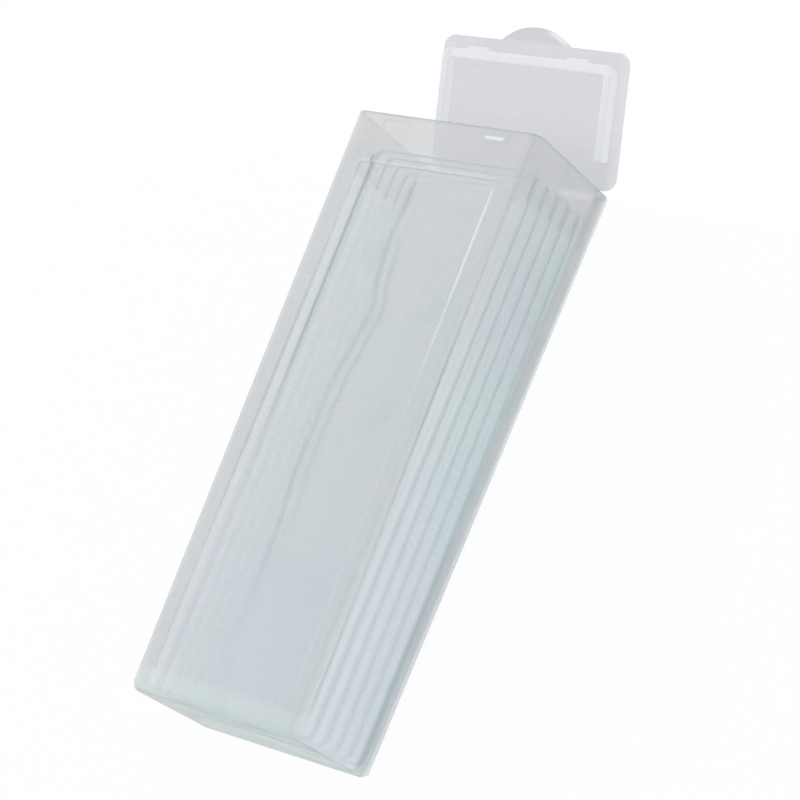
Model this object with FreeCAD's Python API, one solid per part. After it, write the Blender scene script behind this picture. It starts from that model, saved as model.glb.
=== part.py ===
import FreeCAD, Part
import math
import os

# Slide mailer: a tapered box and flip lid moulded in one piece of polypropylene, joined by a thin
# living hinge, with five glass microscope slides in its slots.
#
# Each piece is modelled in the moulding frame: X is the width, Y the depth with the front at -Y and
# the hinged back at +Y, and Z runs from the closed end at 0 up to the rim. The whole is then laid
# on its back wall. In the frame of the finished part the back wall's outer face lies on Z = 0 with
# its centre at the origin, +Y runs towards the mouth, and the front wall is on top.

# Driving dimensions, in millimetres and degrees. The box is sized from the slides it holds: the
# spaces beside, before and behind them are those at the closed end, and the draft adds to them.
slide_length = 76.0
slide_width = 26.0
slide_thickness = 1.0
slide_corner_radius = 1.2
slide_edge_chamfer = 0.12
slide_count = 5
slide_seat_gap = 0.03
slide_side_clearance = 0.1
slide_mouth_drop = 3.12

draft_angle = 0.68
wall = 0.9
end_wall = 1.15
corner_radius = 1.6
end_edge_radius = 1.2
inner_end_radius = 0.6
rim_edge_radius = 0.2

slot_slack = 0.42
front_space = 2.54
back_space = 0.36
rib_thickness = 1.3
rib_grip = 1.7
rib_top_drop = 6.5
rib_lead_in = 2.5
rib_tip_radius = 0.35

panel_side_margin = 3.0
panel_end_margin = 3.2
panel_mouth_margin = 7.0
panel_depth = 0.3
panel_end_angle = 10.0
panel_corner_radius = 0.8
panel_rim_radius = 0.15

hinge_inset = 0.38
hinge_rim_drop = 0.01
hinge_side_margin = 2.25
hinge_slot_clearance = 0.3
web_thickness = 0.3
web_land_drop = 0.22
web_land_thickness = 0.5
back_chamfer_height = 1.0

lid_opening = 64.8
lid_thickness = 0.9
lid_hinge_gap = 0.985
lid_rim_gap = 0.03
lid_front_overhang = 0.21
lid_corner_radius = 1.8
lid_edge_radius = 0.2
tab_reach = 2.07
tab_radius = 8.1
tab_root_radius = 0.8

skirt_height = 1.7
skirt_thickness = 1.3
skirt_side_clearance = 0.15
skirt_front_clearance = 0.58
skirt_hinge_margin = 3.65
skirt_corner_radius = 1.6
skirt_tip_radius = 0.25

snap_side_inset = 5.8
snap_root_width = 4.0
snap_tip_width = 3.0
snap_height = 0.8
snap_tip_margin = 0.12
snap_wall_gap = 0.15
snap_lead_in = 0.35
snap_pocket_depth = 0.45
snap_pocket_clearance = 0.1

side_bump_length = 1.5
side_bump_height = 1.1
side_bump_reach = 0.08
side_bump_end_margin = 0.2

# Sizes that follow from them.
V = FreeCAD.Vector
taper = math.tan(math.radians(draft_angle))
slot_width = slide_thickness + slot_slack
slot_pitch = slot_width + rib_thickness
box_length = end_wall + slide_seat_gap + slide_length + slide_mouth_drop
closed_end_width = slide_width + 2 * (slide_side_clearance + wall)
closed_end_depth = (
    wall + front_space + slide_count * slot_pitch - rib_thickness + back_space + wall
)
mouth_width = closed_end_width + 2 * box_length * taper
mouth_depth = closed_end_depth + 2 * box_length * taper
hinge_width = mouth_width - 2 * hinge_side_margin
rim_back_y = mouth_depth / 2
rim_front_y = -mouth_depth / 2
lid_back_y = rim_back_y - hinge_inset - lid_hinge_gap
lid_front_y = rim_front_y - lid_front_overhang
lid_inner_z = box_length + lid_rim_gap
hinge_axis = V(0, rim_back_y - hinge_inset, box_length - hinge_rim_drop)
web_land_z = box_length - web_land_drop
skirt_front_y = rim_front_y + wall + skirt_front_clearance
skirt_side_x = mouth_width / 2 - wall - skirt_side_clearance
skirt_low_z = lid_inner_z - skirt_height
snap_x = skirt_side_x - snap_side_inset
snap_low_z = skirt_low_z + snap_tip_margin
overlap = 1.0


def half_width(z):
    """Half the box's outer width at height z."""
    return closed_end_width / 2 + z * taper


def half_depth(z):
    """Half the box's outer depth at height z."""
    return closed_end_depth / 2 + z * taper


def polygon(points):
    """Flat face through the points, taken in order."""
    return Part.Face(Part.makePolygon(list(points) + [points[0]]))


def prism_along_x(outline, x_start, x_end):
    """Solid with a (y, z) outline, running from x_start to x_end."""
    return polygon([V(x_start, y, z) for y, z in outline]).extrude(V(x_end - x_start, 0, 0))


def box_between(low, high):
    """Rectangular block between two opposite corners."""
    size = high - low
    return Part.makeBox(size.x, size.y, size.z, low)


def edges_along(shape, direction):
    """The shape's edges that run along a unit direction, to within 25 degrees."""
    chosen = []
    for edge in shape.Edges:
        run = edge.Vertexes[-1].Point - edge.Vertexes[0].Point
        if abs(run.dot(direction)) > 0.9 * run.Length > 0:
            chosen.append(edge)
    return chosen


def upright_edges(shape, y_below=math.inf):
    """The shape's edges that run along its height, those in front of y_below."""
    return [e for e in edges_along(shape, V(0, 0, 1)) if e.Vertexes[0].Y < y_below]


def level_edges(shape, z):
    """The shape's edges that lie in the plane at height z."""
    return [e for e in shape.Edges if all(abs(v.Z - z) < 1e-6 for v in e.Vertexes)]


def tapered_block(inset, bottom, top):
    """Block whose four sides follow the box's draft, inset from its outer faces."""
    low, high = [
        [V(sx * (half_width(z) - inset), sy * (half_depth(z) - inset), z)
         for sx, sy in ((-1, -1), (1, -1), (1, 1), (-1, 1))]
        for z in (bottom, top)
    ]
    sides = [polygon([low[i - 1], low[i], high[i], high[i - 1]]) for i in range(4)]
    return Part.makeSolid(Part.makeShell([polygon(low[::-1]), polygon(high)] + sides))


def tub():
    """The box's outer shape with its hollow, before ribs, panel and hinge seat."""
    outside = tapered_block(0, 0, box_length)
    outside = outside.makeFillet(corner_radius, upright_edges(outside))
    outside = outside.makeFillet(end_edge_radius, level_edges(outside, 0))
    outside = outside.makeFillet(rim_edge_radius, level_edges(outside, box_length))
    hollow = tapered_block(wall, end_wall, box_length + overlap)
    hollow = hollow.makeFillet(corner_radius - wall, upright_edges(hollow))
    hollow = hollow.makeFillet(inner_end_radius, level_edges(hollow, end_wall))
    return outside.cut(hollow)


def slot_centre(number):
    """Depth of the middle of a slot, numbered from 1 at the front."""
    first = -closed_end_depth / 2 + wall + front_space + slot_width / 2
    return first + (number - 1) * slot_pitch


def slot_rib(side, y_centre):
    """One rib of a side wall, from the end wall towards the mouth, with a sloping lead-in."""
    tip_x = slide_width / 2 - rib_grip
    root_x = mouth_width / 2
    top_z = box_length - rib_top_drop
    outline = [(root_x, 0), (tip_x, 0), (tip_x, top_z - rib_lead_in), (root_x, top_z)]
    y_start = y_centre - rib_thickness / 2
    rib = polygon([V(side * x, y_start, z) for x, z in outline]).extrude(V(0, rib_thickness, 0))
    tip_edges = [
        e for e in upright_edges(rib) if all(abs(v.X - side * tip_x) < 1e-6 for v in e.Vertexes)
    ]
    return rib.makeFillet(rib_tip_radius, tip_edges)


def slot_ribs():
    """The ribs on both side walls, rooted in the walls; the hindmost pair runs into the back wall."""
    within_walls = tapered_block(wall / 2, end_wall / 2, box_length)
    return [
        slot_rib(side, slot_centre(boundary + 0.5)).common(within_walls)
        for side in (-1, 1)
        for boundary in range(slide_count + 1)
    ]


def front_panel_cut():
    """Shallow panel sunk into the front wall's outer face, with its two ends leaning outwards."""
    low_z, high_z = panel_end_margin, box_length - panel_mouth_margin
    lean = (panel_depth + overlap) * math.tan(math.radians(panel_end_angle))
    outline = [
        (-half_depth(low_z) - overlap, low_z - lean),
        (-half_depth(low_z) + panel_depth, low_z),
        (-half_depth(high_z) + panel_depth, high_z),
        (-half_depth(high_z) - overlap, high_z + lean),
    ]
    reach = closed_end_width / 2 - panel_side_margin
    cut = prism_along_x(outline, -reach, reach)
    return cut.makeFillet(panel_corner_radius, edges_along(cut, V(0, 1, 0)))


def panel_rim_edges(body):
    """The edges round the sunk panel, in the plane of the front wall's outer face."""
    reach = closed_end_width / 2 - panel_side_margin
    return [
        edge for edge in body.Edges
        if all(
            abs(v.Y + half_depth(v.Z)) < 1e-4
            and abs(v.X) < reach + 1e-4
            and end_edge_radius < v.Z < box_length - rim_edge_radius
            for v in edge.Vertexes
        )
    ]


def snap_pockets():
    """Pockets inside the front wall that take the lid's two snap bumps."""
    z = snap_low_z + snap_height / 2
    face_y = -half_depth(z) + wall
    half = V(snap_root_width / 2 + snap_pocket_clearance, 0, snap_height / 2 + snap_pocket_clearance)
    return [
        box_between(
            V(side * snap_x, face_y - snap_pocket_depth, z) - half,
            V(side * snap_x, face_y + overlap, z) + half,
        )
        for side in (-1, 1)
    ]


def hinge_seat_cut():
    """Lowered and thinned top of the back wall, where the hinge web grows out of it."""
    reach = hinge_width / 2 + hinge_slot_clearance
    land_y = rim_back_y - web_land_thickness
    inside_y = half_depth(web_land_z - back_chamfer_height) - wall
    outline = [
        (inside_y, web_land_z - back_chamfer_height),
        (land_y, web_land_z),
        (rim_back_y + overlap, web_land_z),
        (rim_back_y + overlap, box_length + overlap),
        (inside_y - overlap, box_length + overlap),
        (inside_y - overlap, web_land_z - back_chamfer_height),
    ]
    return prism_along_x(outline, -reach, reach)


def box_body():
    """The moulded box: tapered walls, slot ribs, front panel, snap pockets and hinge seat."""
    body = tub().fuse(slot_ribs()).removeSplitter().cut(front_panel_cut())
    body = body.makeFillet(panel_rim_radius, panel_rim_edges(body))
    return body.cut([hinge_seat_cut()] + snap_pockets())


def lid_plate():
    """Flat top of the lid with its round thumb tab, as it lies when closed."""
    reach = mouth_width / 2
    plate = box_between(
        V(-reach, lid_front_y, lid_inner_z),
        V(reach, lid_back_y, lid_inner_z + lid_thickness),
    )
    plate = plate.makeFillet(lid_corner_radius, upright_edges(plate))
    tab_centre = V(0, lid_front_y - tab_reach + tab_radius, lid_inner_z)
    tab = Part.makeCylinder(tab_radius, lid_thickness, tab_centre)
    plate = plate.fuse(tab).removeSplitter()
    roots = [e for e in upright_edges(plate, lid_front_y + 1e-3) if abs(e.Vertexes[0].X) < tab_radius]
    plate = plate.makeFillet(tab_root_radius, roots)
    return plate.makeFillet(lid_edge_radius, level_edges(plate, lid_inner_z + lid_thickness))


def lid_skirt():
    """Three-sided rib under the lid that plugs the mouth, open towards the hinge."""
    end_y = lid_back_y - skirt_hinge_margin
    outer = box_between(
        V(-skirt_side_x, skirt_front_y, skirt_low_z),
        V(skirt_side_x, end_y, lid_inner_z + lid_thickness / 2),
    )
    outer = outer.makeFillet(skirt_corner_radius, upright_edges(outer, end_y - overlap))
    inner_x = skirt_side_x - skirt_thickness
    inner = box_between(
        V(-inner_x, skirt_front_y + skirt_thickness, skirt_low_z - overlap),
        V(inner_x, end_y + overlap, lid_inner_z + lid_thickness),
    )
    inner = inner.makeFillet(skirt_corner_radius - skirt_thickness, upright_edges(inner, end_y))
    skirt = outer.cut(inner)
    return skirt.makeFillet(skirt_tip_radius, level_edges(skirt, skirt_low_z))


def snap_bump(side):
    """Wedge on the front rib that sits at a pocket of the front wall, sloped where it goes in first."""
    tip_y = rim_front_y + wall + snap_wall_gap
    root_y = skirt_front_y + skirt_thickness / 2
    half_root, half_tip = snap_root_width / 2, snap_tip_width / 2
    outline = [
        (-half_root, skirt_front_y),
        (-half_tip, tip_y),
        (half_tip, tip_y),
        (half_root, skirt_front_y),
        (half_root, root_y),
        (-half_root, root_y),
    ]
    bump = polygon([V(side * snap_x + x, y, snap_low_z) for x, y in outline])
    bump = bump.extrude(V(0, 0, snap_height))
    low_edges = level_edges(bump, snap_low_z)
    leading = [e for e in low_edges if all(abs(v.Y - tip_y) < 1e-6 for v in e.Vertexes)]
    return bump.makeChamfer(snap_lead_in, leading)


def side_bump(side):
    """Small pad on the outside of a side rib, near its hinge end."""
    end_y = lid_back_y - skirt_hinge_margin - side_bump_end_margin
    low_z = skirt_low_z + skirt_tip_radius
    x_in = skirt_side_x - skirt_thickness / 2
    x_out = skirt_side_x + side_bump_reach
    return box_between(
        V(min(side * x_in, side * x_out), end_y - side_bump_length, low_z),
        V(max(side * x_in, side * x_out), end_y, low_z + side_bump_height),
    )


def opened(shape):
    """The shape turned with the lid from closed to its resting angle."""
    turned = shape.copy()
    turned.rotate(hinge_axis, V(1, 0, 0), -lid_opening)
    return turned


def lid():
    """The lid at its resting angle."""
    bumps = [make(side) for make in (snap_bump, side_bump) for side in (-1, 1)]
    return opened(lid_plate().fuse([lid_skirt()] + bumps).removeSplitter())


def hinge_web():
    """Thin strip of the same moulding between the back wall's land and the lid's back edge."""
    angle = math.radians(lid_opening)

    def on_lid(height):
        """Point (y, z) of the open lid's back edge, at a height above its inner face."""
        y = lid_back_y - hinge_axis.y
        z = lid_inner_z + height - hinge_axis.z
        return (
            hinge_axis.y + y * math.cos(angle) + z * math.sin(angle),
            hinge_axis.z - y * math.sin(angle) + z * math.cos(angle),
        )

    outline = [
        (hinge_axis.y - web_thickness / 2, web_land_z),
        (hinge_axis.y + web_thickness / 2, web_land_z),
        on_lid(web_thickness),
        on_lid(0),
    ]
    return prism_along_x(outline, -hinge_width / 2, hinge_width / 2)


def slide(number):
    """One glass slide with rounded corners and ground edges, lying on the rib behind it."""
    back_y = slot_centre(number) + slot_width / 2 - slide_seat_gap
    foot_z = end_wall + slide_seat_gap
    glass = box_between(
        V(-slide_width / 2, back_y - slide_thickness, foot_z),
        V(slide_width / 2, back_y, foot_z + slide_length),
    )
    glass = glass.makeFillet(slide_corner_radius, edges_along(glass, V(0, 1, 0)))
    rims = [e for e in glass.Edges if abs(e.Vertexes[0].Y - e.Vertexes[-1].Y) < 1e-6]
    return glass.makeChamfer(slide_edge_chamfer, rims)


def laying_matrix():
    """Turns the moulding frame so that the back wall lies on Z = 0 with its centre at the origin."""
    matrix = FreeCAD.Matrix()
    matrix.rotateX(math.radians(draft_angle - 90))
    middle_z = box_length / 2
    matrix.move(matrix.multiply(V(0, half_depth(middle_z), middle_z)).negative())
    return matrix


def save(name, shape):
    """Lays one piece down, checks it is a single sound solid and writes it."""
    laid = shape.transformed(laying_matrix(), copy=True)
    solid = laid.Solids[0]
    box = solid.BoundBox
    print(f"{name}: solids {len(laid.Solids)}, valid {solid.isValid()}, volume {solid.Volume:.2f} mm3,"
          f" X {box.XMin:.3f} {box.XMax:.3f}, Y {box.YMin:.3f} {box.YMax:.3f},"
          f" Z {box.ZMin:.3f} {box.ZMax:.3f}")
    solid.exportStep(f"parts/{name}.step")


os.makedirs("parts", exist_ok=True)
save("slide_box", box_body())
save("hinge_web", hinge_web())
save("flip_lid", lid())
for number in range(1, slide_count + 1):
    save(f"glass_slide_{number}", slide(number))
print("hinge axis at", laying_matrix().multiply(hinge_axis))
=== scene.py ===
import math

import bmesh
import bpy
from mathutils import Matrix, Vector


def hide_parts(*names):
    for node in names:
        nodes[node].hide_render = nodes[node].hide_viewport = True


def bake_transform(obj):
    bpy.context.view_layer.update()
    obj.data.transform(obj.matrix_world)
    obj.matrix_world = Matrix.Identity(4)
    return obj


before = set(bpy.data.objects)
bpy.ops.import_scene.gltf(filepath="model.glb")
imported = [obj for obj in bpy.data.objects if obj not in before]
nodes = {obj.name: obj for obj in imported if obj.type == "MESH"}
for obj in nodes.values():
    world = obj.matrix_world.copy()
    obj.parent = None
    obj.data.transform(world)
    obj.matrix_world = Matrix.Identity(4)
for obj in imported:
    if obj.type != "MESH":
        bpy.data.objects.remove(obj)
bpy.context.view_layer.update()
scene = bpy.context.scene
mm = 0.001

# The box: a tapered tub of natural polypropylene, injection moulded in one shot with its lid.
# The resin is translucent and slightly milky, with a satin skin, cloudy patches and a pair of wavy
# flow lines down the front wall, and its cut rim is painted a darker line, as shade where the wall
# is seen edge-on.
draft = math.radians(0.68)
half_length = 80.3 * mm / 2
front_face_height = 17.952 * mm
side_face_width = 14.95 * mm
corner_rounding = 2.8 * mm
end_rounding = 2.1 * mm
rib_reach = 2.6 * mm

# The skin of the moulding. Light that only travels through a wall loses a little and isn't bent.
grain_scale = 2400
ripple_scale = 160
skin_bump = 0.08 * mm
skin_roughness = 0.26
plastic_index = 1.49
wall_opacity = 0.50
light_let_by = (0.94, 0.94, 0.94, 1)


class Signal:
    """An output of a shader node. Arithmetic on signals adds Math nodes beside it."""

    def __init__(self, tree, socket=None):
        self.tree = tree
        self.socket = socket

    def node(self, kind, settings, sockets, output=0):
        """Adds a node, sets it up, then fills its sockets with values or links; gives an output."""
        made = self.tree.nodes.new("ShaderNode" + kind)
        for name, value in settings.items():
            if name == "stops":
                while len(made.color_ramp.elements) < len(value):
                    made.color_ramp.elements.new(1)
                for element, (position, shade) in zip(made.color_ramp.elements, value):
                    element.position = position
                    element.color = (shade, shade, shade, 1)
                made.color_ramp.interpolation = "B_SPLINE"
            else:
                setattr(made, name, value)
        for name, value in sockets.items():
            if isinstance(value, Signal):
                self.tree.links.new(value.socket, made.inputs[name])
            else:
                made.inputs[name].default_value = value
        return Signal(self.tree, made.outputs[output]) if len(made.outputs) else None

    def other(self, name):
        """Another output of this signal's node."""
        return Signal(self.tree, self.socket.node.outputs[name])

    def maths(self, operation, *values):
        """A Math node whose first value is this signal."""
        return self.node("Math", {"operation": operation}, dict(enumerate((self, *values))))

    def __add__(self, other):
        return self.maths("ADD", other)

    def __sub__(self, other):
        return self.maths("SUBTRACT", other)

    def __rsub__(self, other):
        return self.node("Math", {"operation": "SUBTRACT"}, {0: other, 1: self})

    def __mul__(self, other):
        return self.maths("MULTIPLY", other)

    def __abs__(self):
        return self.maths("ABSOLUTE")

    __radd__ = __add__
    __rmul__ = __mul__

    def rises(self, low, high):
        """0 below low, 1 above high, smooth between."""
        return self.node(
            "MapRange", {"interpolation_type": "SMOOTHSTEP"},
            {"Value": self, "From Min": low, "From Max": high},
        )

    def falls(self, low, high):
        """1 below low, 0 above high, smooth between."""
        return 1 - self.rises(low, high)

    def spans(self, begins, ends):
        """1 between two fades, each given by where it starts and where it stops."""
        return self.rises(*begins) * self.falls(*ends)

    def line(self, centre, half_width):
        """1 where this value is at the centre, fading to 0 at half_width from it."""
        return abs(self - centre).falls(0.0, half_width)

    def noise(self, scale, detail=2.0, roughness=0.5, distortion=0.0):
        """Value of a noise pattern over this vector."""
        return self.node("TexNoise", {}, {
            "Vector": self, "Scale": scale, "Detail": detail,
            "Roughness": roughness, "Distortion": distortion,
        })

    def stretched(self, scale):
        """This vector with each axis scaled, which draws a pattern out along the other axes."""
        return self.node("Mapping", {}, {"Vector": self, "Scale": scale})

    def blend(self, first, second):
        """Colour that goes from the first to the second as this value goes from 0 to 1."""
        return self.node("Mix", {"data_type": "RGBA"}, {0: self, 6: first, 7: second}, output=2)


def new_material(name):
    """An empty node material and the signal its nodes start from."""
    material = bpy.data.materials.new(name)
    material.use_nodes = True
    material.node_tree.nodes.clear()
    return material, Signal(material.node_tree)


def axes(vector):
    """The three numbers of a vector signal."""
    first = vector.node("SeparateXYZ", {}, {"Vector": vector})
    return first, first.other("Y"), first.other("Z")


def cover(node, material):
    """Puts a material on every slot of a CAD node."""
    for slot in node.material_slots:
        slot.material = material


def let_light_by(surface, tint):
    """Keeps a surface as it is seen, and lets the light that falls on it through with a tint."""
    ray = surface.node("LightPath", {}, {}, output="Is Shadow Ray")
    from_light = ray.maths("MAXIMUM", ray.other("Is Diffuse Ray"))
    passing = surface.node("BsdfTransparent", {}, {"Color": tint})
    return surface.node("MixShader", {}, {0: from_light, 1: surface, 2: passing})


def milky_surface(start, place, colour, opacity, extra_height=0.0):
    """Satin skin of moulded polypropylene: fine mottled grain in its gloss, opacity and surface."""
    grain = place.noise(grain_scale, 2, 0.6)
    ripple = place.noise(ripple_scale, 2, 0.5)
    height = grain * 0.25 + ripple + extra_height
    bump = start.node("Bump", {}, {"Strength": 0.35, "Distance": skin_bump, "Height": height})
    surface = start.node("BsdfPrincipled", {}, {
        "Base Color": colour,
        "Roughness": skin_roughness + grain * 0.14 + ripple * 0.06,
        "Alpha": opacity + (grain - 0.5) * 0.10,
        "IOR": plastic_index,
        "Normal": bump,
    })
    start.node("OutputMaterial", {}, {"Surface": let_light_by(surface, light_let_by)})


# Directions in the box: run goes from the closed end to the mouth with 0 halfway, depth is 0 on the
# front face and negative behind it, and from_skin is the distance to the nearest outer face.
plastic, start = new_material("milky_polypropylene_box")
place = start.node("TexCoord", {}, {}, output="Object")
across, along, up = axes(place)
run = along * math.cos(draft) + up * math.sin(draft)
depth = up * math.cos(2 * draft) - along * math.sin(2 * draft) - front_face_height
side_at_middle = side_face_width - half_length * math.tan(draft)
from_side = run * math.tan(draft) - abs(across) + side_at_middle
from_front = 0 - depth
from_skin = from_side.maths("SMOOTH_MIN", from_front.maths("MINIMUM", up), corner_rounding)
from_skin = from_skin.maths("SMOOTH_MIN", run + half_length, end_rounding)
on_front = depth.rises(-0.5 * mm, -0.35 * mm)
on_side = from_side.falls(0.3 * mm, 0.5 * mm)
right_half = across.rises(0, mm)

# Two wavy flow lines side by side down the front wall, worn away in places. A stop is a place
# along the box and how far sideways the line has wandered there, both as shares.
flow_line_stops = [
    (0.042, 0.411), (0.204, 0.411), (0.278, 0.4), (0.328, 0.378), (0.378, 0.306),
    (0.428, 0.289), (0.478, 0.294), (0.527, 0.306), (0.565, 0.322), (0.59, 0.4), (0.627, 0.433),
    (0.658, 0.478), (0.689, 0.489), (0.714, 0.4), (0.745, 0.333), (0.801, 0.322),
    (0.851, 0.333), (0.913, 0.356),
]
flow_line_sway = 9 * mm
flow_line_shake = 0.6 * mm
flow_line_gap = 1.8 * mm
flow_line_fades = ((-36 * mm, -14 * mm), (31 * mm, 34 * mm))
beside_line_fades = ((-20 * mm, -6 * mm), (16 * mm, 32 * mm))
share_of_length = run * (0.5 / half_length) + 0.5
wander = place.node("ValToRGB", {"stops": flow_line_stops}, {0: share_of_length})
path = (wander - 0.5) * flow_line_sway + (place.noise(320, 2) - 0.5) * flow_line_shake
worn = place.stretched((3, 1, 1)).noise(420, 3, 0.6).rises(0.3, 0.6)
flow_line = abs(across - path).falls(0.15 * mm, 0.75 * mm) * run.spans(*flow_line_fades)
beside_line = abs(across - (path + flow_line_gap)).falls(0.1 * mm, 0.7 * mm)
beside_line = beside_line * run.spans(*beside_line_fades) * 0.85
flow = flow_line.maths("MAXIMUM", beside_line) * on_front * (0.5 + worn * 0.5)

# The label panel, sunk a little into the front wall: its edges are painted with glints on the right
# and at both ends, and painted dark with shade on the left.
panel_half_width = 11.0 * mm
panel_half_length = 35.1 * mm
panel_middle = -1.75 * mm
panel_side_fades = ((-36.6 * mm, -35.6 * mm), (31.5 * mm, 33 * mm))
panel_shade_fades = ((-20 * mm, -5 * mm), (12 * mm, 28 * mm))
panel_glint = abs(across).line(panel_half_width + 0.1 * mm, 0.5 * mm) * across.rises(-mm, mm)
panel_glint = panel_glint * on_front * run.spans(*panel_side_fades)
panel_glint = panel_glint * (0.25 + run.rises(0, 24 * mm) * 0.75)
panel_shade = across.line(-panel_half_width, 0.3 * mm) * on_front * run.spans(*panel_shade_fades)
lit_panel_end = abs(run - panel_middle).line(panel_half_length, 0.3 * mm) * on_front
lit_panel_end = lit_panel_end * abs(across).falls(panel_half_width - 0.6 * mm, panel_half_width)
lit_panel_end = lit_panel_end * (0.25 + run.rises(0, 30 * mm) * 0.35)

# Areas of another shade on the front wall, and the small marks on it: a painted dark line where the
# edge of the first pane shows through, a speck in the resin, and a painted glint at one snap pocket
# by the rim.
pane_edge_across = -9.15 * mm
pane_line_fades = ((-12 * mm, 12 * mm), (33.8 * mm, 34.8 * mm))
speck_place = (-9.87 * mm, -14.5 * mm, 17.61 * mm)
snap_across = 8.4 * mm
snap_run = 38.75 * mm
clouds = place.noise(48, 3, 0.55, 0.8).rises(0.36, 0.64)
marks = place.noise(150, 4, 0.65).rises(0.52, 0.72)
bluish = (run + (place.noise(90, 2) - 0.5) * (8 * mm)).falls(-18.5 * mm, -16.5 * mm)
bluish = bluish * abs(across).falls(10.4 * mm, 11.2 * mm) * on_front
bluish = bluish * (0.35 + across.rises(-4 * mm, 4 * mm) * 0.4)
near_mouth = run.rises(32.5 * mm, 35.5 * mm)
greyer = across.spans((-7 * mm, 0), (10.4 * mm, 11.4 * mm)) * on_front
greyer = (greyer * run.rises(-20 * mm, -17 * mm) * 0.7).maths("MAXIMUM", near_mouth)
pane_line = across.line(pane_edge_across, 0.5 * mm) * on_front * run.spans(*pane_line_fades)
speck = place.node(
    "VectorMath", {"operation": "DISTANCE"}, {0: place, 1: speck_place}, output="Value",
).falls(0.12 * mm, 0.22 * mm)
snap_glint = run.line(snap_run, 0.4 * mm) * across.line(snap_across, 2.2 * mm).rises(0.1, 0.4)
snap_glint = snap_glint * on_front

# The rim and the corner down the right of the front wall, painted darker as shade where the view
# passes through thick plastic; the foot, paler and greener; and the end wall, painted darker as
# shade, with streaks of painted glint.
corner_lean = 0.018
rim = run.rises(half_length - 0.28 * mm, half_length - 0.12 * mm)
shaded_corner_line = (from_side + depth - run * corner_lean).line(-0.2 * mm, 0.5 * mm) * right_half
shaded_corner_line = shaded_corner_line * from_skin.falls(0.15 * mm, 0.3 * mm)
shaded_corner_line = shaded_corner_line * run.rises(-38 * mm, -34 * mm) * (1 - run.rises(0, 22 * mm) * 0.75)
foot = run.falls(-37.7 * mm, -36.5 * mm)
end_face = run.falls(-40.05 * mm, -39.5 * mm)
streaks = place.stretched((70, 1, 700)).noise(1.0, 3, 0.6)
end_shade_streaks = end_face * (0.2 + streaks.rises(0.38, 0.62) * 0.45)
end_glint_streaks = end_face * streaks.falls(0.30, 0.34)

# The right side wall is painted lighter, as light, greener towards the closed end and bluer right
# at it, with a painted highlight in a pale band across it by the mouth. Both side walls are painted
# dark with shade low down, over a painted glint on the edge where they turn under.
mouth_highlight_slant = 0.354
lit_lower_side = on_side * right_half * run.falls(2 * mm, 24 * mm)
lit_side_end = lit_lower_side * run.falls(-22 * mm, 5 * mm) * depth.falls(-4 * mm, -0.5 * mm)
mouth_highlight = (run + up * mouth_highlight_slant).line(40.0 * mm, 0.9 * mm) * on_side * right_half
mouth_highlight = mouth_highlight * up.spans((1.5 * mm, 3 * mm), (9.5 * mm, 11.5 * mm))
heel_shade = up.spans((1.5 * mm, 2.1 * mm), (3.4 * mm, 4.6 * mm)) * on_side
heel_glint = up.line(1.25 * mm, 0.45 * mm) * on_side * run.rises(-16 * mm, 10 * mm)

# The inner faces, and the ribs that hold the panes, are painted brighter. That stands for the light
# that the milky walls scatter onto them. The rib tips are painted darker, as shade.
inside = from_skin.rises(0.34 * mm, 0.42 * mm)
rib = from_skin.rises(1.0 * mm, 1.3 * mm)
shaded_rib_tip = from_side.rises(rib_reach - 0.3 * mm, rib_reach - 0.05 * mm) * rib
shaded_rib_tip = shaded_rib_tip * depth.rises(-4.4 * mm, -4.2 * mm)
left_wall = from_side.falls(1.1 * mm, 1.5 * mm) * across.falls(-2 * mm, 0)
lit_wall = near_mouth.blend((0.76, 0.81, 0.825, 1), (0.665, 0.675, 0.685, 1))
lit_wall = (near_mouth * left_wall).blend(lit_wall, (0.88, 0.89, 0.88, 1))
lit_rib = across.rises(-mm, mm).blend((0.97, 0.98, 0.985, 1), (0.87, 0.95, 0.96, 1))

# Each area goes over the ones before it: the mask, how strongly it covers, its colour, and the
# opacity that it adds.
plastic_cool = (0.535, 0.562, 0.578, 1)
plastic_warm = (0.550, 0.552, 0.590, 1)
glint = (0.95, 0.96, 0.98, 1)
faint_shade = (0.30, 0.35, 0.38, 1)
colour = clouds.blend(plastic_cool, plastic_warm)
opacity = wall_opacity + (clouds - 0.5) * 0.05
for area, strength, shade, thicker in (
    (greyer, 1.0, (0.575, 0.572, 0.584, 1), 0),
    (bluish, 1.0, (0.535, 0.555, 0.640, 1), 0),
    (flow, 0.5, faint_shade, 0.1),
    (lit_panel_end, 1.0, (0.74, 0.78, 0.79, 1), 0),
    (panel_glint, 0.7, glint, 0.3),
    (panel_shade, 0.7, faint_shade, 0),
    (pane_line, 0.75, (0.16, 0.265, 0.28, 1), 0.25),
    (speck, 0.7, (0.10, 0.11, 0.12, 1), 0),
    (rim, 1.0, (0.42, 0.45, 0.46, 1), 0.1),
    (shaded_corner_line, 0.9, (0.22, 0.24, 0.30, 1), 0.25),
    (foot, 0.75, (0.60, 0.68, 0.665, 1), 0),
    (end_shade_streaks, 1.0, (0.20, 0.31, 0.29, 1), 0),
    (end_glint_streaks, 0.4, glint, 0),
    (marks, 0.16, faint_shade, 0),
    (lit_lower_side, 0.6, (0.67, 0.73, 0.745, 1), 0),
    (lit_side_end, 0.5, (0.80, 0.775, 0.88, 1), 0),
    (snap_glint, 0.8, glint, 0.3),
    (mouth_highlight, 0.7, (0.80, 0.77, 0.78, 1), 0.2),
    (heel_shade, 0.8, (0.33, 0.355, 0.39, 1), 0),
    (heel_glint, 0.8, glint, 0.3),
    (inside, 1.0, lit_wall, 0),
    (rib, 1.0, lit_rib, 0.3),
    (shaded_rib_tip, 0.3, (0.30, 0.38, 0.42, 1), 0),
):
    colour = (area * strength).blend(colour, shade)
    if thicker:
        opacity = opacity + area * thicker
milky_surface(start, place, colour, opacity)
cover(nodes["slide_box"], plastic)
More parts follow.
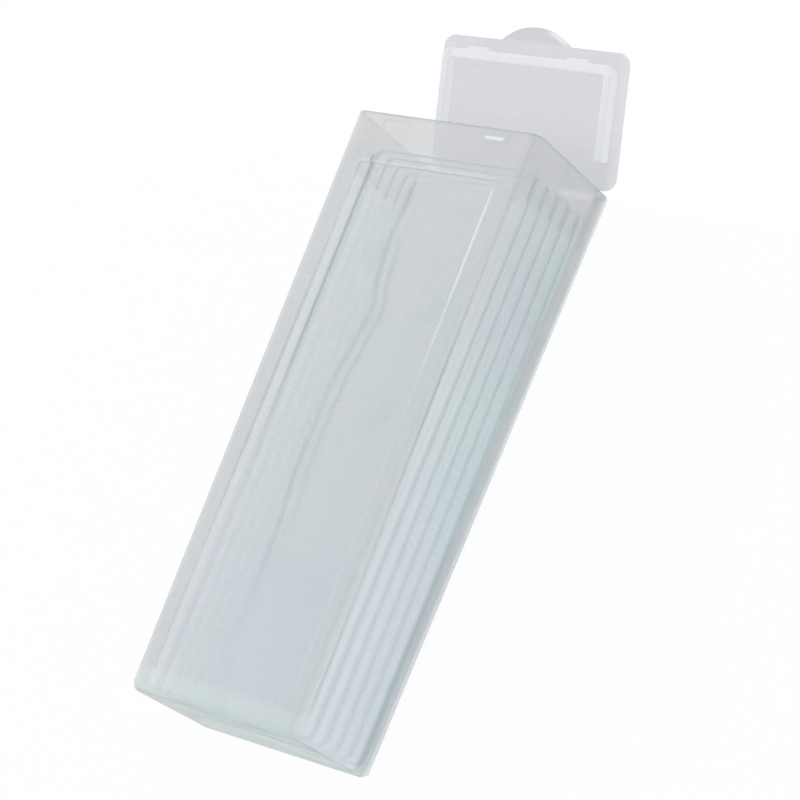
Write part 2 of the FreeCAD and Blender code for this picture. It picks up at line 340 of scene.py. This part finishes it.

# The hinge: a thin web of the same moulding between the back wall and the lid, necked along its
# middle, where flexing has whitened it.
web_segments = 12
neck_thinning = 0.35
web_opacity = 0.55
web_grey = (0.62, 0.64, 0.66, 1)
web_whitened = (0.86, 0.87, 0.88, 1)
copy = bmesh.new()
copy.from_mesh(nodes["hinge_web"].data)
bmesh.ops.remove_doubles(copy, verts=copy.verts, dist=1e-6)
half_width = max(v.co.x for v in copy.verts)
section = sorted((v.co.yz for v in copy.verts if v.co.x > 0), key=lambda point: point[0])
copy.free()
root, tip = [sorted(pair, key=lambda point: point[1]) for pair in (section[:2], section[2:])]
web = bmesh.new()
rings = []
for i in range(web_segments + 1):
    t = i / web_segments
    low, high = [root[side].lerp(tip[side], t) for side in (0, 1)]
    pinch = neck_thinning / 2 * math.sin(math.pi * t) ** 2
    low, high = low.lerp(high, pinch), high.lerp(low, pinch)
    ends = [(-half_width, low), (half_width, low), (half_width, high), (-half_width, high)]
    rings.append([web.verts.new((x, point[0], point[1])) for x, point in ends])
for ring, next_ring in zip(rings, rings[1:]):
    for k in range(4):
        web.faces.new((ring[k], ring[(k + 1) % 4], next_ring[(k + 1) % 4], next_ring[k]))
web.faces.new(rings[0][::-1])
web.faces.new(rings[-1])
bmesh.ops.recalc_face_normals(web, faces=web.faces)
web_mesh = bpy.data.meshes.new("flexed_hinge_web")
web.to_mesh(web_mesh)
web.free()
web_object = bpy.data.objects.new("flexed_hinge_web", web_mesh)
scene.collection.objects.link(web_object)
flexed, start = new_material("milky_polypropylene_web")
place = start.node("TexCoord", {}, {}, output="Object")
_, along, _ = axes(place)
neck = (root[0][0] + tip[0][0]) / 2
streaks = place.stretched((900, 60, 60)).noise(1.0, 2)
whitened = along.line(neck, 0.5 * mm) * (0.6 + streaks * 0.4)
colour = whitened.blend(web_grey, web_whitened)
milky_surface(start, place, colour, web_opacity + whitened * 0.2)
web_mesh.materials.append(flexed)
root_middle = (root[0] + root[1]) / 2
tip_middle = (tip[0] + tip[1]) / 2
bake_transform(web_object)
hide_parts("hinge_web")

# The lid: the other half of the same moulding, a plate with a round thumb tab and a raised rib
# on three sides that plugs the mouth. The plate has a fine pebbled look and a darker tab; it is
# painted darker near the hinge as shade, with a painted highlight along its sides and a painted
# glint on the tab's edge. The thicker rib, which scatters more light, is painted whiter.
lid_opacity = 0.44
lid_cool = (0.610, 0.600, 0.640, 1)
lid_warm = (0.635, 0.615, 0.650, 1)
lid_by_hinge = (0.47, 0.46, 0.49, 1)
lid_margin_light = (0.70, 0.69, 0.73, 1)
pebble_shade = (0.56, 0.55, 0.61, 1)
rib_white = (0.86, 0.865, 0.895, 1)
lid_rib_height = 1.7 * mm
tab_radius = 8.1 * mm
tab_half_width = 8.0 * mm
tab_begins = 18.4 * mm
opening = math.radians(64.8)
hinge_along = 40.138 * mm
hinge_up = 0.38 * mm
outward = (0.0, math.sin(opening - draft), math.cos(opening - draft))
plate_normal = (0.0, -math.cos(opening - draft), math.sin(opening - draft))
hinge_line = hinge_along * outward[1] + hinge_up * outward[2]
lid_points = [v.co for v in nodes["flip_lid"].data.vertices]
plate_top = max(point.dot(Vector(plate_normal)) for point in lid_points) - lid_rib_height
lid_tip = max(point.dot(Vector(outward)) for point in lid_points) - hinge_line
lid_plastic, start = new_material("milky_polypropylene_lid")
place = start.node("TexCoord", {}, {}, output="Object")
across, along, up = axes(place)
from_hinge = along * outward[1] + up * outward[2] - hinge_line
rise = place.node(
    "VectorMath", {"operation": "DOT_PRODUCT"}, {0: place, 1: plate_normal}, output="Value",
)
clouds = place.noise(60, 3, 0.6, 0.5).rises(0.35, 0.65)
pebbles = place.noise(1500, 2, 0.6).rises(0.35, 0.65)
rib = rise.rises(plate_top + 0.1 * mm, plate_top + 0.5 * mm)
shaded = from_hinge.falls(2 * mm, 11 * mm)
lit_margin = abs(across).rises(13.5 * mm, 14.3 * mm)
tab = abs(across).falls(tab_half_width - 0.4 * mm, tab_half_width + 0.4 * mm)
tab = tab * from_hinge.rises(tab_begins, tab_begins + mm)
in_tab = start.node("CombineXYZ", {}, {"X": across, "Y": from_hinge - (lid_tip - tab_radius)})
from_tab_centre = start.node("VectorMath", {"operation": "LENGTH"}, {0: in_tab}, output="Value")
tab_glint = from_tab_centre.rises(tab_radius - 0.6 * mm, tab_radius - 0.3 * mm)
tab_glint = tab_glint * tab * across.rises(mm, 3 * mm)
colour = clouds.blend(lid_cool, lid_warm)
for area, strength, shade in (
    (pebbles, 0.45, pebble_shade),
    (shaded, 0.6, lid_by_hinge),
    (lit_margin, 0.6, lid_margin_light),
    (tab, 0.7, lid_by_hinge),
    (tab_glint, 1.0, rib_white),
    (rib, 0.9, rib_white),
):
    colour = (area * strength).blend(colour, shade)
milky_surface(start, place, colour, lid_opacity + rib * 0.2 + tab_glint * 0.3, pebbles * 0.3)
cover(nodes["flip_lid"], lid_plastic)

# The slides: 76 x 26 x 1 mm panes cut from clear soda-lime glass. The faces are polished; the
# ground edges are frosted, and light that has run through the pane leaves them tinted sea-green.
# The long edges are painted darker as shade towards the mouth, most on the top slide, and darkest
# where an edge is seen from inside the pane.
frosted_edge = (0.46, 0.72, 0.73, 1)
shaded_edge_by_mouth = (0.10, 0.37, 0.34, 1)
shaded_edge_from_within = (0.02, 0.16, 0.155, 1)
glass_lets_by = (0.95, 0.98, 0.975, 1)
glass_tint = (0.0, 0.68, 0.66, 1)
glass_density = 7.0
glass_index = 1.52
ground_roughness = 0.5
top_slide = (13.2 * mm, 14 * mm)
glass, start = new_material("soda_lime_glass")
place = start.node("TexCoord", {}, {}, output="Object")
sideways, _, through = axes(place.other("Normal"))
_, lengthwise, height = axes(place)
edge = abs(through).falls(0.75, 0.95)
long_edge = abs(sideways).rises(0.3, 0.7)
grinding = place.noise(3500, 2, 0.7)
haze = place.noise(120, 2, 0.5).rises(0.55, 0.75)
clear_glass = start.node("BsdfPrincipled", {}, {
    "Base Color": (1, 1, 1, 1),
    "Roughness": edge * (0.04 + grinding * 0.06) + haze * 0.01 + 0.01,
    "IOR": glass_index,
    "Transmission Weight": 1.0,
})
darker = long_edge * lengthwise.rises(0, 34 * mm) * (0.45 + height.rises(*top_slide) * 0.55)
outer_edge = darker.blend(frosted_edge, shaded_edge_by_mouth)
within = start.node("NewGeometry", {}, {}, output="Backfacing") * (0.35 + long_edge * 0.65)
ground = start.node("BsdfPrincipled", {}, {
    "Base Color": within.blend(outer_edge, shaded_edge_from_within),
    "Roughness": ground_roughness,
})
frosting = edge * (0.70 + grinding * 0.2)
surface = start.node("MixShader", {}, {0: frosting, 1: clear_glass, 2: ground})
absorbing = start.node("VolumeAbsorption", {}, {"Color": glass_tint, "Density": glass_density})
surface = let_light_by(surface, glass_lets_by)
start.node("OutputMaterial", {}, {"Surface": surface, "Volume": absorbing})
for number in range(1, 6):
    cover(nodes[f"glass_slide_{number}"], glass)

# The table top, plain and pale. The box lies with its mouth at the table's edge, so that the lid
# can swing right down past it.
table_edge = 40.0 * mm
table_gap = 0.02 * mm
table_reach = 3
table_whiteness = 0.93
table_paint = (0.92, 0.92, 0.92, 1)
white = (1, 1, 1, 1)
table_mesh = bpy.data.meshes.new("table_top")
corners = [
    (-table_reach, -table_reach), (table_reach, -table_reach),
    (table_reach, table_edge), (-table_reach, table_edge),
]
table_mesh.from_pydata([(x, y, -table_gap) for x, y in corners], [], [(0, 1, 2, 3)])
table_top = bpy.data.objects.new("table_top", table_mesh)
scene.collection.objects.link(table_top)


def seen_rays(start):
    """1 for rays from the camera, also off gloss or through glass, and 0 for other rays."""
    camera_ray = start.node("LightPath", {}, {}, output="Is Camera Ray")
    seen = camera_ray.maths("MAXIMUM", camera_ray.other("Is Glossy Ray"))
    return seen.maths("MAXIMUM", camera_ray.other("Is Transmission Ray"))


painted, start = new_material("white_table")
whiteness = seen_rays(start) * table_whiteness
lit = start.node("BsdfDiffuse", {}, {"Color": table_paint})
plain = start.node("Emission", {}, {"Color": white, "Strength": 1.0})
surface = start.node("MixShader", {}, {0: whiteness, 1: lit, 2: plain})
start.node("OutputMaterial", {}, {"Surface": surface})
table_mesh.materials.append(painted)

# The room: a white tent that lights the object evenly from all round, with one large soft lamp
# to the left of the box, and the camera above it and to its right, a little past its closed end.
tent_light = (0.975, 0.985, 1, 1)
tent_strength = 0.95
lamp_place = (-0.92, 0.2, 0.34)
lamp_width = 0.8
lamp_power = 2.6
camera_place = (0.230205, -0.075831, 0.286630)
camera_turn = (28.0069, 31.3546, 25.955)
world = bpy.data.worlds.new("studio_tent")
scene.world = world
world.use_nodes = True
world.node_tree.nodes.clear()
start = Signal(world.node_tree)
around = start.node("Background", {}, {"Color": tent_light, "Strength": tent_strength})
backdrop = start.node("Background", {}, {"Color": white, "Strength": 1.0})
surface = start.node("MixShader", {}, {0: seen_rays(start), 1: around, 2: backdrop})
start.node("OutputWorld", {}, {"Surface": surface})

lamp_data = bpy.data.lights.new("window_light", "AREA")
lamp_data.size = lamp_width
lamp_data.energy = lamp_power
lamp = bpy.data.objects.new("window_light", lamp_data)
lamp.location = lamp_place
lamp.rotation_euler = Vector(lamp_place).to_track_quat("Z", "Y").to_euler()
scene.collection.objects.link(lamp)

camera_data = bpy.data.cameras.new("camera")
camera_data.lens = 131.578
camera_data.sensor_width = 36
camera_data.clip_start = 0.01
camera = bpy.data.objects.new("camera", camera_data)
camera.location = camera_place
camera.rotation_euler = [math.radians(angle) for angle in camera_turn]
scene.collection.objects.link(camera)
scene.camera = camera

scene.view_settings.view_transform = "Standard"
scene.cycles.transparent_max_bounces = 32
scene.cycles.max_bounces = 16
scene.cycles.transmission_bounces = 16
